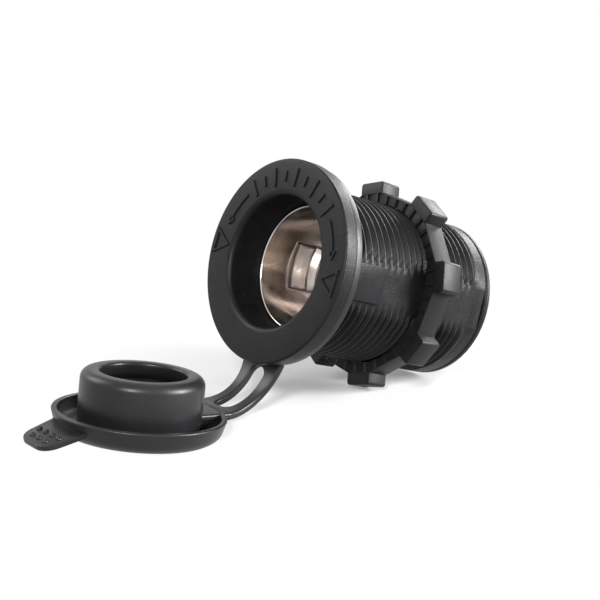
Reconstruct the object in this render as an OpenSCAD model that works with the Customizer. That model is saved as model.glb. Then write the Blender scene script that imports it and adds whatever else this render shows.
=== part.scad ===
// Panel socket for a 12 volt plug, with a lock nut and a captive dust cap that hangs open.
// The axis runs along Y: the mouth faces -Y and the terminals point to +Y. Z is up.
// The origin is on the axis, in the face that bears on the front of the panel.
// All lengths are in millimetres and all angles in degrees.

/* [Socket bore] */
// Inner radius of the plated shell, which takes the plug
shell_r = 10.5; // [9.5:0.1:11]
// Wall of the plated shell
shell_wall = 0.5; // [0.3:0.1:0.7]
// Free depth inside the shell, from its rim to its floor
shell_depth = 28.4; // [24:0.2:34]
// Rounding inside the corner between the shell's wall and floor
floor_round = 2.0; // [1.6:0.1:2.2]
// Hole in the shell's floor for the insulated centre contact
floor_hole_r = 2.7; // [2.2:0.1:3.4]

/* [Plug lock pockets] */
// Length of each pocket along the axis
pocket_len = 7.1; // [5:0.1:8]
// Length of the ramp at the front of each pocket
pocket_ramp_front = 2.0; // [1:0.1:2.4]
// Length of the ramp at the rear of each pocket
pocket_ramp_rear = 1.5; // [0.8:0.1:2]
// Width of each pocket across the shell
pocket_w = 7.5; // [5:0.5:8]
// Depth of each pocket outwards
pocket_depth = 1.1; // [0.8:0.1:1.2]
// Distance of the pockets behind the shell's rim
pocket_back = 6.3; // [5:0.1:12]

/* [Flange] */
// How far the flange reaches beyond the barrel
flange_lip = 3.2; // [2.6:0.1:5]
// Thickness of the flange
flange_t = 2.5; // [2:0.1:4]
// Bevel at the flange's front edge
flange_bevel = 0.4; // [0.2:0.1:0.8]
// Step from the shell's outside to the wall of the recess in front of it
mouth_step = 0.2; // [0.1:0.05:0.4]
// Rounding of the mouth's edge
mouth_round = 1.0; // [0.5:0.1:1.4]
// Depth of the shell's rim behind the flange's face
recess_depth = 6.7; // [5:0.1:9]

/* [Marks on the flange] */
// Height of the raised marks above the face
mark_h = 0.25; // [0.1:0.05:0.4]
// Width of the raised lines
mark_line = 0.5; // [0.3:0.05:0.7]
// Distance of the ring of ticks and arrows inside the flange's edge
mark_in = 3.1; // [2.6:0.1:3.3]
// Angle by which the marks are turned clockwise, seen from the front
mark_turn = 4.5; // [0:0.5:10]
// Length of the long ticks
tick_len = 3.2; // [2:0.1:3.6]
// Length of the short ticks
short_tick_len = 1.8; // [1:0.1:3]
// Number of ticks in the row at the top
tick_count = 9; // [5:1:13]
// Angle taken by the row of ticks
tick_span = 84; // [60:1:90]
// Angle between the row of ticks and each arrow
arrow_gap = 8; // [5:1:16]
// Angle taken by each arrow's shaft
arrow_span = 24; // [15:1:28]
// Length of the arrows' heads
arrow_head = 1.5; // [1.2:0.1:2.4]
// Side of the triangles beside the mouth
triangle_side = 4.8; // [3.5:0.1:5]

/* [Threaded barrel] */
// Wall of the barrel, from the shell's outside to the thread's crests
barrel_wall = 3.2; // [3:0.05:3.6]
// Free room between the centre rivet and the rear cap
rear_room = 1.2; // [0.6:0.1:6]
// Advance of the thread in one turn
thread_pitch = 1.54; // [1.4:0.02:2]
// Depth of the thread
thread_depth = 0.7; // [0.3:0.05:0.75]
// Width of the thread's crests
thread_crest = 0.33; // [0.2:0.01:0.4]
// Slope of the thread's flanks
thread_slope = 30; // [20:1:30]
// Plain length in front of the thread
neck_len = 0.5; // [0.2:0.1:1.5]
// Plain length behind the thread
collar_len = 2.6; // [1.5:0.1:4]
// Depth of the side flats below the thread's crests
flat_in = 1.0; // [0.6:0.05:1.1]
// Depth of the side flats on the plain length behind the thread
collar_flat_in = 0.5; // [0.3:0.05:0.6]
// Height of the raised pads on the flats
pad_h = 0.65; // [0.3:0.05:0.65]
// Length of the pads behind the panel face
pad_len = 8.9; // [5:0.1:14]
// Width of the pads
pad_w = 6.2; // [4:0.1:6.2]

/* [Rear cap] */
// Thickness of the rear cap's plate
rear_cap_t = 1.3; // [1:0.1:2.5]
// Bevel along the seam between barrel and rear cap
seam_bevel = 0.3; // [0.1:0.05:0.4]
// Wall of the barrel round the cavity behind the shell, below the thread
cavity_wall = 1.2; // [1:0.05:1.25]
// Wall of the rear cap's skirt
skirt_wall = 2.2; // [1.8:0.1:2.3]

/* [Lock nut] */
// Distance of the nut behind the panel face, as it stands
nut_y = 18.2; // [2:0.1:25]
// Thickness of the nut
nut_t = 4.4; // [3.5:0.1:6]
// Wall of the nut at the middle of each flat side
nut_wall = 1.7; // [1.2:0.1:2.6]
// Height of the lugs above the flat sides
nut_lug_h = 2.35; // [1.6:0.05:3.5]
// Width of each lug
nut_lug_w = 5.4; // [4:0.1:6.5]
// Number of lugs, one on each corner between the flat sides
nut_lugs = 8; // [6:1:10]
// Angle of the first lug above the +X side
nut_turn = 13; // [0:1:45]
// Number of locking teeth round the nut's front face
nut_teeth = 40; // [24:4:60]
// Length of the locking teeth, outwards from the bore
nut_tooth_len = 2.0; // [1:0.1:2.2]
// Depth of the notches between the locking teeth
nut_notch = 0.4; // [0.3:0.05:0.9]

/* [Dust cap] */
// Thickness of the strap ring behind the flange
ring_t = 1.5; // [1.2:0.1:2.5]
// How far the strap ring reaches beyond the barrel
ring_lip = 2.9; // [2.4:0.1:3.1]
// Thickness of the strap
strap_t = 1.2; // [1:0.1:1.4]
// Width of the strap
strap_w = 10.4; // [9:0.1:13]
// Width of the slot between the strap's two bands
slot_w = 3.6; // [2:0.1:4]
// Distance of the slot below the ring
slot_drop = 0.7; // [0.4:0.1:2]
// How far each side of the strap narrows at the middle of its bend
strap_waist = 1.2; // [0.4:0.1:1.4]
// Radius of the narrowed sides
waist_r = 20; // [15:1:30]
// How far the strap's corners reach into the ring, where its bend starts
strap_root = 0.1; // [0.05:0.05:0.9]
// Radius of the strap's bend, at its middle
bend_r = 9.9; // [8:0.1:12]
// Straight length of strap between the bend and the cap's rim
strap_run = 0.4; // [0.4:0.1:4]
// Length of the pad where the strap meets the cap, beyond the cap's rim
pad_lip = 0.3; // [0.1:0.1:0.4]
// Angle of the open cap below the socket's axis
cap_pitch = 9.2; // [0:0.1:20]
// Outer radius of the cap's dish at its rim
dish_r = 13.75; // [12.8:0.05:14]
// Height of the dish
dish_h = 3.6; // [3.4:0.1:4.5]
// How far the dish narrows towards its underside
dish_taper = 0.4; // [0.1:0.1:1]
// Rounding of the dish's underside
dish_round = 2.4; // [1:0.1:2.6]
// Wall of the dish
dish_wall = 0.9; // [0.7:0.1:1.2]
// Thickness of the dish's floor
dish_floor = 1.3; // [1:0.1:1.8]
// Outer radius of the cap's plug
plug_r = 9.75; // [9.2:0.05:10.2]
// Height of the plug's lip above the cap's underside
plug_h = 9.9; // [8.4:0.1:10.2]
// Wall of the plug below its lip
plug_wall = 2.0; // [1.6:0.1:2.4]
// How far the plug narrows towards the dish
plug_taper = 0.2; // [0:0.1:0.5]
// Inner radius of the plug's lip
plug_hole_r = 6.85; // [5.5:0.05:7]
// Length of the lip's inner face
lip_len = 1.6; // [1.2:0.1:2.5]
// Rounding of the lip on its outer side
lip_round_out = 1.5; // [1.2:0.1:1.8]
// Rounding of the lip on its inner side
lip_round_in = 0.5; // [0.3:0.1:0.8]
// Reach of the pull tab from the cap's middle
tab_reach = 18.7; // [17.5:0.1:22]
// Width of the pull tab where it leaves the dish
tab_w = 9.8; // [8:0.1:12]
// Width of the pull tab near its tip
tab_tip_w = 8.6; // [7:0.1:8.6]
// Radius of the pull tab's corners
tab_corner = 2.8; // [1:0.1:3]
// Thickness of the pull tab
tab_t = 0.9; // [0.7:0.1:1.2]
// Height of the tab's top at the dish's wall
tab_z = 1.8; // [1.6:0.1:2.2]
// Slope of the pull tab, down towards its tip
tab_slope = 18; // [5:1:20]
// Radius of the grip dots on the tab
dot_r = 0.45; // [0.3:0.05:0.55]
// Height of the grip dots
dot_h = 0.4; // [0.1:0.05:0.5]
// Distance between the grip dots in a row
dot_pitch = 1.95; // [1.4:0.05:2.1]
// Distance between the two rows of dots
dot_row = 1.7; // [1.4:0.1:2]
// Distance from the tab's end to the nearer row of dots
dot_inset = 1.5; // [1.2:0.1:2]

/* [Contacts] */
// Width of the flat terminals
blade_w = 6.3; // [4.8:0.1:6.3]
// Thickness of the flat terminals
blade_t = 0.8; // [0.5:0.1:1]
// Bevel at the terminals' tips
blade_bevel = 1.1; // [0.6:0.1:1.6]
// Radius of the terminals' locking holes
blade_hole_r = 0.8; // [0.5:0.1:1]
// Distance of the locking holes from the terminals' tips
blade_hole_back = 3.2; // [2.5:0.1:4]
// Length of the terminals behind the rear cap
blade_out = 8.0; // [6.5:0.5:12]
// Distance of the positive terminal above the axis
positive_z = 5.0; // [4.6:0.1:5.2]
// Distance of the negative terminal inside the shell's radius
negative_in = 1.3; // [1.2:0.1:1.5]
// Height of the negative terminal's foot, beside the washers
foot_h = 3.0; // [2.8:0.1:3.1]
// How far the insulating washers reach beyond the centre contact
washer_lip = 2.0; // [1.6:0.1:2.4]
// Thickness of the outer insulating washer
outer_washer_t = 0.8; // [0.5:0.1:1]
// Thickness of the inner insulating washer
inner_washer_t = 0.8; // [0.6:0.1:0.8]
// Thickness of the centre contact
contact_t = 0.5; // [0.3:0.1:0.5]
// Bevel round the centre contact
contact_bevel = 0.3; // [0.2:0.1:0.6]
// Radius of the centre rivet's shank
rivet_r = 1.5; // [1.2:0.1:1.8]
// Radius of the centre rivet's heads
rivet_head_r = 2.4; // [2.1:0.1:2.8]
// Height of the centre rivet's heads
rivet_head_h = 0.6; // [0.5:0.1:0.6]
// Bevel round the centre rivet's heads
rivet_bevel = 0.3; // [0.2:0.1:0.4]
// Edge of the positive terminal's foot beyond the rivet's head
foot_edge = 0.6; // [0.3:0.1:1]
// Radius of the two ground rivets
pin_r = 0.6; // [0.4:0.05:0.7]
// Radius of the ground rivets' heads
pin_head_r = 0.9; // [0.8:0.05:1]
// Height of the ground rivets' heads
pin_head_h = 0.45; // [0.3:0.05:0.6]
// Distance of the ground rivets from the middle
pin_x = 1.7; // [1.5:0.1:1.9]

/* [Clearances] */
// Between the nut and the thread's crests, on the radius
nut_gap = 0.15; // [0.1:0.05:0.4]
// Between the strap ring and the barrel, on the radius
ring_gap = 0.3; // [0.2:0.05:0.5]
// Between the strap ring and the flange
ring_side_gap = 0.1; // [0.05:0.05:0.2]
// Between pieces that are pressed or seated together
seat_gap = 0.05; // [0.03:0.01:0.08]
// Between the terminals and their slots
slot_gap = 0.25; // [0.15:0.05:0.35]
// Between the negative terminal's foot and the insulating washer
foot_gap = 0.15; // [0.1:0.05:0.3]

/* [Hidden] */
$fn = 96;
eps = 0.01;
over = 1;
edge_steps = 6;
bend_steps = 20;
arrow_half = 0.6;
arrow_notch = 0.3;
tooth_share = 0.75;
dot_top = 0.6;
wall_share = 0.7;
lip_slope = 1.4;

// Planes along the axis, from the mouth to the rear
flange_back = -ring_t - ring_side_gap;
face_y = flange_back - flange_t;
rim_y = face_y + recess_depth;
floor_y = rim_y + shell_depth;
floor_back = floor_y + shell_wall;
foot_y = floor_back + outer_washer_t;
rivet_back = foot_y + blade_t;
barrel_len = rivet_back + rivet_head_h + rear_room;
rear_y = barrel_len + rear_cap_t;
blade_end = rear_y + blade_out;

// Shell and its pockets
shell_out = shell_r + shell_wall;
pocket_y = rim_y + pocket_back;
shell_seat_r = shell_out + seat_gap;
corner_r = shell_r - floor_round;
corner_out = floor_round + shell_wall;

// Radii of the housing
mouth_r = shell_out + mouth_step;
barrel_r = shell_out + barrel_wall;
root_r = barrel_r - thread_depth;
flange_r = barrel_r + flange_lip;
mark_r = flange_r - mark_in;
flat_d = barrel_r - flat_in;
pad_d = flat_d + pad_h;
cavity_r = root_r - cavity_wall;

// The rear cap's skirt ends on the shell's rounded corner
skirt_r = cavity_r - 2 * seat_gap;
skirt_in_r = skirt_r - skirt_wall;
cavity_y = floor_y - floor_round + sqrt(pow(corner_out, 2) - pow(skirt_in_r - corner_r, 2));

// Thread
thread_y = neck_len;
thread_room = barrel_len - collar_len - neck_len;
thread_turns = floor(thread_room / thread_pitch);
collar_y = thread_y + thread_turns * thread_pitch;
flank = thread_depth * tan(thread_slope);

// Lock nut
nut_bore = barrel_r + nut_gap;
nut_side = nut_bore + nut_wall;
nut_lug_r = nut_side + nut_lug_h;

// Open cap: the strap bends from straight down to the cap's own slope
ring_r = barrel_r + ring_lip;
ring_mid = -ring_t / 2;
bend_y = ring_mid - bend_r;
bend_z = strap_root - sqrt(pow(ring_r, 2) - pow(strap_w / 2, 2));
strap_end_y = bend_y + bend_r * sin(cap_pitch);
strap_end_z = bend_z - bend_r * cos(cap_pitch);
strap_level = dish_h - strap_t / 2;
cap_reach = dish_r + strap_run;
cap_y = strap_end_y - cap_reach * cos(cap_pitch) + strap_level * sin(cap_pitch);
cap_z = strap_end_z - cap_reach * sin(cap_pitch) - strap_level * cos(cap_pitch);
pad_out = dish_r + pad_lip;
pad_in = plug_r - plug_wall / 2;
inner_wall_r = dish_r - dish_taper - wall_share * dish_wall;

// Heights of the negative terminal and of the ground rivets, which lie outside the washers
negative_z = shell_r - negative_in;
washer_r = negative_z - foot_h;
contact_r = washer_r - washer_lip;
ground_z = -(negative_z - blade_t + washer_r) / 2;

// Turns a profile drawn as radius and distance along the axis
module turned() {
    rotate([-90, 0, 0]) rotate_extrude() children();
}

// Plain ring or disc along the axis
module ring(y0, y1, r_out, r_in = 0) {
    translate([0, y0, 0]) rotate([-90, 0, 0]) difference() {
        cylinder(h = y1 - y0, r = r_out);
        if (r_in > 0) translate([0, 0, -eps]) cylinder(h = y1 - y0 + 2 * eps, r = r_in);
    }
}

// Block given by its lowest and highest corners
module block(low, high) {
    translate(low) cube(high - low);
}

// Turns its children round the axis, from the +X side upwards
module around(angle) {
    rotate([0, -angle, 0]) children();
}

// Flat figure raised on the flange's face, drawn in X and Z
module raised() {
    translate([0, face_y + eps, 0]) rotate([90, 0, 0]) linear_extrude(mark_h + eps) children();
}

function arc(cx, cy, r, from, to, steps = edge_steps) =
    [for (i = [0 : steps]) let (a = from + (to - from) * i / steps) [cx + r * cos(a), cy + r * sin(a)]];

function thread_points() =
    [for (i = [0 : thread_turns - 1]) let (y = thread_y + i * thread_pitch) each [
        [barrel_r, y],
        [root_r, y + flank],
        [root_r, y + thread_pitch - flank - thread_crest],
        [barrel_r, y + thread_pitch - thread_crest]
    ]];

// Point in Y and Z of a point given in the open cap's frame
function from_cap(y, z) =
    [cap_y + y * cos(cap_pitch) - z * sin(cap_pitch), cap_z + y * sin(cap_pitch) + z * cos(cap_pitch)];

module housing_body() {
    turned() polygon(concat(
        [[mouth_r, rim_y]],
        arc(mouth_r + mouth_round, face_y + mouth_round, mouth_round, 180, 270),
        [
            [flange_r - flange_bevel, face_y],
            [flange_r, face_y + flange_bevel],
            [flange_r, flange_back],
            [barrel_r, flange_back]
        ],
        thread_points(),
        [
            [barrel_r, barrel_len - seam_bevel],
            [barrel_r - seam_bevel, barrel_len],
            [cavity_r, barrel_len],
            [cavity_r, cavity_y],
            [shell_seat_r, cavity_y],
            [shell_seat_r, rim_y]
        ]
    ));
}

// What is cut off each side to leave the flats
module side_flats() {
    for (side = [0, 180]) around(side) {
        block([flat_d, 0, -barrel_r], [barrel_r + over, collar_y, barrel_r]);
        block([barrel_r - collar_flat_in, collar_y - eps, -barrel_r],
            [barrel_r + over, barrel_len + over, barrel_r]);
    }
}

// Plain pads on the flats, next to the flange
module side_pads() {
    for (side = [0, 180]) around(side)
        block([root_r - over, -over, -pad_w / 2], [pad_d, pad_len, pad_w / 2]);
}

// Grooves that let the shell's pockets in from the rear
module pocket_grooves() {
    half = pocket_w / 2 + shell_wall + slot_gap;
    intersection() {
        ring(pocket_y, cavity_y + over, cavity_r);
        for (side = [0, 180]) around(side)
            block([0, 0, -half], [cavity_r + over, cavity_y + over, half]);
    }
}

module tick(angle, len) {
    rotate([0, 0, angle]) translate([mark_r - len / 2, -mark_line / 2]) square([len, mark_line]);
}

module tick_marks() {
    for (i = [0 : tick_count - 1])
        tick(90 - tick_span / 2 + tick_span * i / (tick_count - 1), i % 2 == 0 ? tick_len : short_tick_len);
}

// Arrow that follows the rim and points down, on the +X side
module arrow_mark() {
    tail = 90 - tick_span / 2 - arrow_gap;
    tip = tail - arrow_span;
    difference() {
        circle(r = mark_r + mark_line / 2);
        circle(r = mark_r - mark_line / 2);
        rotate([0, 0, tail]) translate([-2 * mark_r, 0]) square([4 * mark_r, 2 * mark_r]);
        rotate([0, 0, tip]) translate([-2 * mark_r, -2 * mark_r]) square([4 * mark_r, 2 * mark_r]);
    }
    rotate([0, 0, tip]) translate([mark_r, 0])
        polygon([
            [0, -arrow_head / 2],
            [arrow_head * arrow_half, arrow_head / 2],
            [mark_line / 2, arrow_head * arrow_notch],
            [-mark_line / 2, arrow_head * arrow_notch],
            [-arrow_head * arrow_half, arrow_head / 2]
        ]);
}

// Outlined triangle beside the mouth, with one corner inwards
module triangle_mark() {
    out = triangle_side / sqrt(3);
    inner = out - 2 * mark_line;
    translate([mouth_r + mouth_round + out, 0]) difference() {
        polygon([for (a = [60, 180, 300]) [out * cos(a), out * sin(a)]]);
        polygon([for (a = [60, 180, 300]) [inner * cos(a), inner * sin(a)]]);
    }
}

module housing() {
    color("#232327") {
        difference() {
            housing_body();
            side_flats();
            pocket_grooves();
        }
        side_pads();
        raised() rotate([0, 0, -mark_turn]) {
            tick_marks();
            arrow_mark();
            mirror([1, 0]) arrow_mark();
            triangle_mark();
            mirror([1, 0]) triangle_mark();
        }
    }
}

// Plate that closes the barrel, with a skirt that holds the shell forward
module rear_cap() {
    half_w = blade_w / 2 + slot_gap;
    color("#26262a") difference() {
        turned() polygon([
            [0, barrel_len + seat_gap],
            [skirt_in_r, barrel_len + seat_gap],
            [skirt_in_r, cavity_y + seat_gap],
            [skirt_r, cavity_y + seat_gap],
            [skirt_r, barrel_len + seat_gap],
            [barrel_r - seam_bevel, barrel_len + seat_gap],
            [barrel_r, barrel_len + seat_gap + seam_bevel],
            [barrel_r, rear_y - seam_bevel],
            [barrel_r - seam_bevel, rear_y],
            [0, rear_y]
        ]);
        block([-half_w, barrel_len - over, positive_z - blade_t - slot_gap],
            [half_w, rear_y + over, positive_z + slot_gap]);
        block([-half_w, barrel_len - over, -negative_z - slot_gap],
            [half_w, rear_y + over, -negative_z + blade_t + slot_gap]);
    }
}

// Nut with flat sides, a lug on each corner and slanted locking teeth on the front face
module lock_nut() {
    notch_w = tooth_share * 2 * PI * nut_bore / nut_teeth;
    color("#1f1f22") translate([0, nut_y, 0]) difference() {
        union() {
            around(nut_turn) rotate([-90, 0, 0])
                cylinder(h = nut_t, r = nut_side / cos(180 / nut_lugs), $fn = nut_lugs);
            for (i = [0 : nut_lugs - 1]) around(nut_turn + 360 * i / nut_lugs)
                block([nut_side - nut_wall / 2, 0, -nut_lug_w / 2], [nut_lug_r, nut_t, nut_lug_w / 2]);
        }
        ring(-over, nut_t + over, nut_bore);
        for (i = [0 : nut_teeth - 1]) around(360 * (i + 0.5) / nut_teeth)
            translate([nut_bore + (nut_tooth_len - over) / 2, 0, 0]) across(nut_tooth_len + over) polygon([
                [-over, -notch_w / 2],
                [0, -notch_w / 2],
                [nut_notch, notch_w / 2],
                [-over, notch_w / 2]
            ]);
    }
}

module cap_ring() {
    color("#1b1b1d") ring(-ring_t, 0, ring_r, barrel_r + ring_gap);
}

// Strap of two bands that hangs from the ring and bends forward to the cap
module cap_strap() {
    slot_top = -ring_r - slot_drop;
    slot_end = pad_out + slot_w / 4;
    color("#1b1b1d") difference() {
        across(strap_w) polygon(concat(
            arc(bend_y, bend_z, bend_r + strap_t / 2, 0, cap_pitch - 90, bend_steps),
            [
                from_cap(pad_out, strap_level - strap_t / 2),
                from_cap(pad_out, strap_level + strap_t / 2)
            ],
            arc(bend_y, bend_z, bend_r - strap_t / 2, cap_pitch - 90, 0, bend_steps)
        ));
        ring(-ring_t - over, over, ring_r);
        strap_waists();
        across(slot_w) polygon([
            [over, slot_top],
            [bend_y, slot_top],
            from_cap(slot_end, dish_h + over),
            from_cap(slot_end, -over),
            [over, cap_z]
        ]);
    }
}

// What is cut off each side of the strap, square to the middle of its bend
module strap_waists() {
    for (side = [-1, 1]) translate([side * (strap_w / 2 - strap_waist + waist_r), bend_y, bend_z])
        rotate([(90 - cap_pitch) / 2 + 90, 0, 0])
            translate([0, 0, bend_r - 2 * strap_t]) cylinder(h = 4 * strap_t, r = waist_r);
}

// Extrudes a figure drawn in Y and Z to a width across the middle
module across(width) {
    translate([-width / 2, 0, 0]) rotate([90, 0, 90]) linear_extrude(width) children();
}

// Places its children in the open cap's frame: +Y towards the strap, +Z out of the plug
module in_cap() {
    translate([0, cap_y, cap_z]) rotate([cap_pitch, 0, 0]) children();
}

module dish() {
    rotate_extrude() polygon(concat(
        [[0, 0]],
        arc(dish_r - dish_taper - dish_round, dish_round, dish_round, -90, -10),
        [
            [dish_r, dish_h],
            [dish_r - dish_wall, dish_h],
            [dish_r - dish_taper - dish_wall, dish_floor],
            [0, dish_floor]
        ]
    ));
}

// Round plug with a thick rolled lip, open at the top
module plug() {
    inner_r = plug_r - plug_wall;
    rotate_extrude() polygon(concat(
        [
            [inner_r, dish_floor - eps],
            [plug_r - plug_taper, dish_floor - eps],
            [plug_r, (dish_h + plug_h) / 2 - over]
        ],
        arc(plug_r - lip_round_out, plug_h - lip_round_out, lip_round_out, 0, 75),
        arc(plug_hole_r + lip_round_in, plug_h - lip_round_in, lip_round_in, 90, 180),
        [
            [plug_hole_r, plug_h - lip_len],
            [inner_r, plug_h - lip_len - lip_slope * (inner_r - plug_hole_r)]
        ]
    ));
}

// Places its children on the pull tab: +Y towards the dish, +Z up from the tab's top
module on_tab() {
    translate([0, -dish_r, tab_z]) rotate([tab_slope, 0, 0]) children();
}

// Sloping tongue with two rows of grip dots
module tab() {
    run = (tab_reach - dish_r) / cos(tab_slope);
    difference() {
        on_tab() translate([0, 0, -tab_t]) linear_extrude(tab_t) hull() {
            translate([-tab_w / 2, 0]) square([tab_w, dish_r / 4]);
            for (side = [-1, 1]) translate([side * (tab_tip_w / 2 - tab_corner), tab_corner - run])
                circle(r = tab_corner, $fn = 32);
        }
        translate([0, 0, -over]) cylinder(h = dish_h + 2 * over, r = inner_wall_r);
    }
    on_tab() for (row = [0, 1], i = [0 : 3 - row])
        translate([(i - 1.5 + row / 2) * dot_pitch, dot_inset - run + (1 - row) * dot_row, -eps])
            cylinder(h = dot_h + eps, r1 = dot_r, r2 = dot_r * dot_top);
}

// Plate from the strap over the dish's rim to the plug's wall, filled down to the dish's floor
module strap_pad() {
    low = strap_level - strap_t / 2;
    difference() {
        union() {
            block([-strap_w / 2, 0, low], [strap_w / 2, pad_out, dish_h]);
            intersection() {
                block([-strap_w / 2, 0, dish_floor - eps], [strap_w / 2, dish_r, low + eps]);
                cylinder(h = dish_h, r = inner_wall_r);
            }
        }
        cylinder(h = plug_h, r = pad_in);
    }
}

module cap_lid() {
    color("#1b1b1d") in_cap() union() {
        dish();
        plug();
        tab();
        strap_pad();
    }
}

// Two opposite pockets with a ramp at each end, for a bore of the given radius
module pockets(r, width) {
    intersection() {
        turned() polygon([
            [r - over, pocket_y],
            [r, pocket_y],
            [r + pocket_depth, pocket_y + pocket_ramp_front],
            [r + pocket_depth, pocket_y + pocket_len - pocket_ramp_rear],
            [r, pocket_y + pocket_len],
            [r - over, pocket_y + pocket_len]
        ]);
        for (side = [0, 180]) around(side)
            block([0, rim_y, -width / 2], [r + pocket_depth + over, floor_y, width / 2]);
    }
}

// Round cup with a rounded corner at its floor
module cup(y0, y1, r, corner) {
    turned() polygon(concat([[0, y0], [r, y0]], arc(r - corner, y1 - corner, corner, 0, 90), [[0, y1]]));
}

module contact_shell() {
    color("#c9c2b8") difference() {
        union() {
            cup(rim_y, floor_back, shell_out, corner_out);
            pockets(shell_out, pocket_w + 2 * shell_wall);
        }
        cup(rim_y - over, floor_y, shell_r, floor_round);
        pockets(shell_r, pocket_w);
        ring(floor_y - over, floor_back + over, floor_hole_r);
        ground_places() ring(floor_y - over, floor_back + over, pin_r + seat_gap);
    }
}

module inner_insulator() {
    color("#7a4a2a") difference() {
        union() {
            ring(floor_y - inner_washer_t, floor_y, washer_r);
            ring(floor_y - eps, floor_back, floor_hole_r - seat_gap);
        }
        ring(floor_y - inner_washer_t - over, floor_back + over, rivet_r + seat_gap);
    }
}

module outer_insulator() {
    color("#7a4a2a") ring(floor_back, foot_y, washer_r, rivet_r + seat_gap);
}

module centre_contact() {
    y = floor_y - inner_washer_t;
    color("#b9a06a") difference() {
        turned() polygon([
            [0, y],
            [contact_r, y],
            [contact_r - contact_bevel, y - contact_t],
            [0, y - contact_t]
        ]);
        ring(y - contact_t - over, y + over, rivet_r + seat_gap);
    }
}

module centre_rivet() {
    y = floor_y - inner_washer_t - contact_t;
    color("#c8b684") turned() polygon([
        [0, y - rivet_head_h],
        [rivet_head_r - rivet_bevel, y - rivet_head_h],
        [rivet_head_r, y - rivet_head_h + rivet_bevel],
        [rivet_head_r, y],
        [rivet_r, y],
        [rivet_r, rivet_back],
        [rivet_head_r, rivet_back],
        [rivet_head_r, rivet_back + rivet_head_h - rivet_bevel],
        [rivet_head_r - rivet_bevel, rivet_back + rivet_head_h],
        [0, rivet_back + rivet_head_h]
    ]);
}

// Flat blade with bevelled tip and a locking hole, its upper face at z
module blade(y0, z) {
    side = blade_w / 2;
    translate([0, 0, z - blade_t]) difference() {
        linear_extrude(blade_t) polygon([
            [-side, y0],
            [side, y0],
            [side, blade_end - blade_bevel],
            [side - blade_bevel, blade_end],
            [blade_bevel - side, blade_end],
            [-side, blade_end - blade_bevel]
        ]);
        translate([0, blade_end - blade_hole_back, -over]) cylinder(h = blade_t + 2 * over, r = blade_hole_r);
    }
}

module positive_terminal() {
    color("#c8b684") difference() {
        union() {
            block([-blade_w / 2, foot_y, -rivet_head_r - foot_edge], [blade_w / 2, rivet_back, positive_z]);
            blade(foot_y, positive_z);
        }
        ring(foot_y - over, rivet_back + over, rivet_r + seat_gap);
    }
}

module ground_places() {
    for (side = [-1, 1]) translate([side * pin_x, 0, ground_z]) children();
}

module negative_terminal() {
    color("#c9c2b8") difference() {
        union() {
            block([-blade_w / 2, floor_back, -negative_z],
                [blade_w / 2, floor_back + blade_t, -washer_r - foot_gap]);
            blade(floor_back, -negative_z + blade_t);
        }
        ground_places() ring(floor_back - over, floor_back + blade_t + over, pin_r + seat_gap);
    }
}

module ground_rivets() {
    color("#c9c2b8") ground_places() {
        ring(floor_y - pin_head_h, floor_y, pin_head_r);
        ring(floor_y - eps, floor_back + blade_t + eps, pin_r);
        ring(floor_back + blade_t, floor_back + blade_t + pin_head_h, pin_head_r);
    }
}

housing();
rear_cap();
lock_nut();
cap_ring();
cap_strap();
cap_lid();
contact_shell();
inner_insulator();
outer_insulator();
centre_contact();
centre_rivet();
positive_terminal();
negative_terminal();
ground_rivets();
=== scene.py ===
"""Looks of a panel socket for a 12 volt plug: threaded housing, lock nut, plated shell and dust cap."""
import math

import bmesh
import bpy
from mathutils import Matrix, Vector


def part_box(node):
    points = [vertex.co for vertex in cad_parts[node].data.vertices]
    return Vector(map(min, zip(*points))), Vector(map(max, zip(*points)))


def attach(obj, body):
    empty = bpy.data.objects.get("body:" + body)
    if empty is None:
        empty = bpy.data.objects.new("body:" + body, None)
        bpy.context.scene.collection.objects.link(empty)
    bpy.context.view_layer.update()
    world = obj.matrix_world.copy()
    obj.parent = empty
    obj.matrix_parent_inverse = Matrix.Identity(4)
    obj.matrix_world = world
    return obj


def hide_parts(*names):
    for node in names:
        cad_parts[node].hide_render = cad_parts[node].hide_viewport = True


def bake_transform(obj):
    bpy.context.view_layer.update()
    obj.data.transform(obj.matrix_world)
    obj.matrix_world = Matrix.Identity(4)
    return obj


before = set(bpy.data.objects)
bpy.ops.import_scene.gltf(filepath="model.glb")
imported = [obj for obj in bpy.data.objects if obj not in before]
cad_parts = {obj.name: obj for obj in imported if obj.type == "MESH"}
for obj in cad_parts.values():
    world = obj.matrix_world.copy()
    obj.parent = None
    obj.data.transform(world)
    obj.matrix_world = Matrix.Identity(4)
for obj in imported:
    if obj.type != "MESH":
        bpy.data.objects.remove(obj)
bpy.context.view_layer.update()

# Shapes are in millimetres here, in the frame of the solids.
# The axis runs along Y, the mouth faces -Y and Z is up.
MM = 0.001


def box_mm(node):
    low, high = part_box(node)
    return low / MM, high / MM


# Sizes read from the frame
HOUSING_LOW, HOUSING_HIGH = box_mm("housing")
RING_LOW, RING_HIGH = box_mm("cap_ring")
NUT_LOW, NUT_HIGH = box_mm("lock_nut")
SHELL_LOW, SHELL_HIGH = box_mm("contact_shell")
RING_R = RING_HIGH.x
RING_T = RING_HIGH.y - RING_LOW.y
FLANGE_R = HOUSING_HIGH.x
BARREL_END = HOUSING_HIGH.y
BARREL_R = box_mm("rear_cap")[1].x

# Where the middle of a rounded bevel lies, as a share of its width
BEVEL_MIDDLE = 0.3

# Flange and mouth
MARK_H = 0.25
MARK_LINE = 0.5
MARK_R = 14.3
# Slope of the marks' sides, and how far their feet go into the face
LINE_DRAFT = 0.07
FIGURE_DRAFT = 0.06
MARK_SINK = 0.02
FACE_Y = HOUSING_LOW.y + MARK_H
FLANGE_T = 2.5
FLANGE_BACK = FACE_Y + FLANGE_T
FLANGE_BEVEL = 0.4
BACK_BEVEL = 0.15
MOUTH_R = 11.2
MOUTH_ROUND = 1.0
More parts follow.
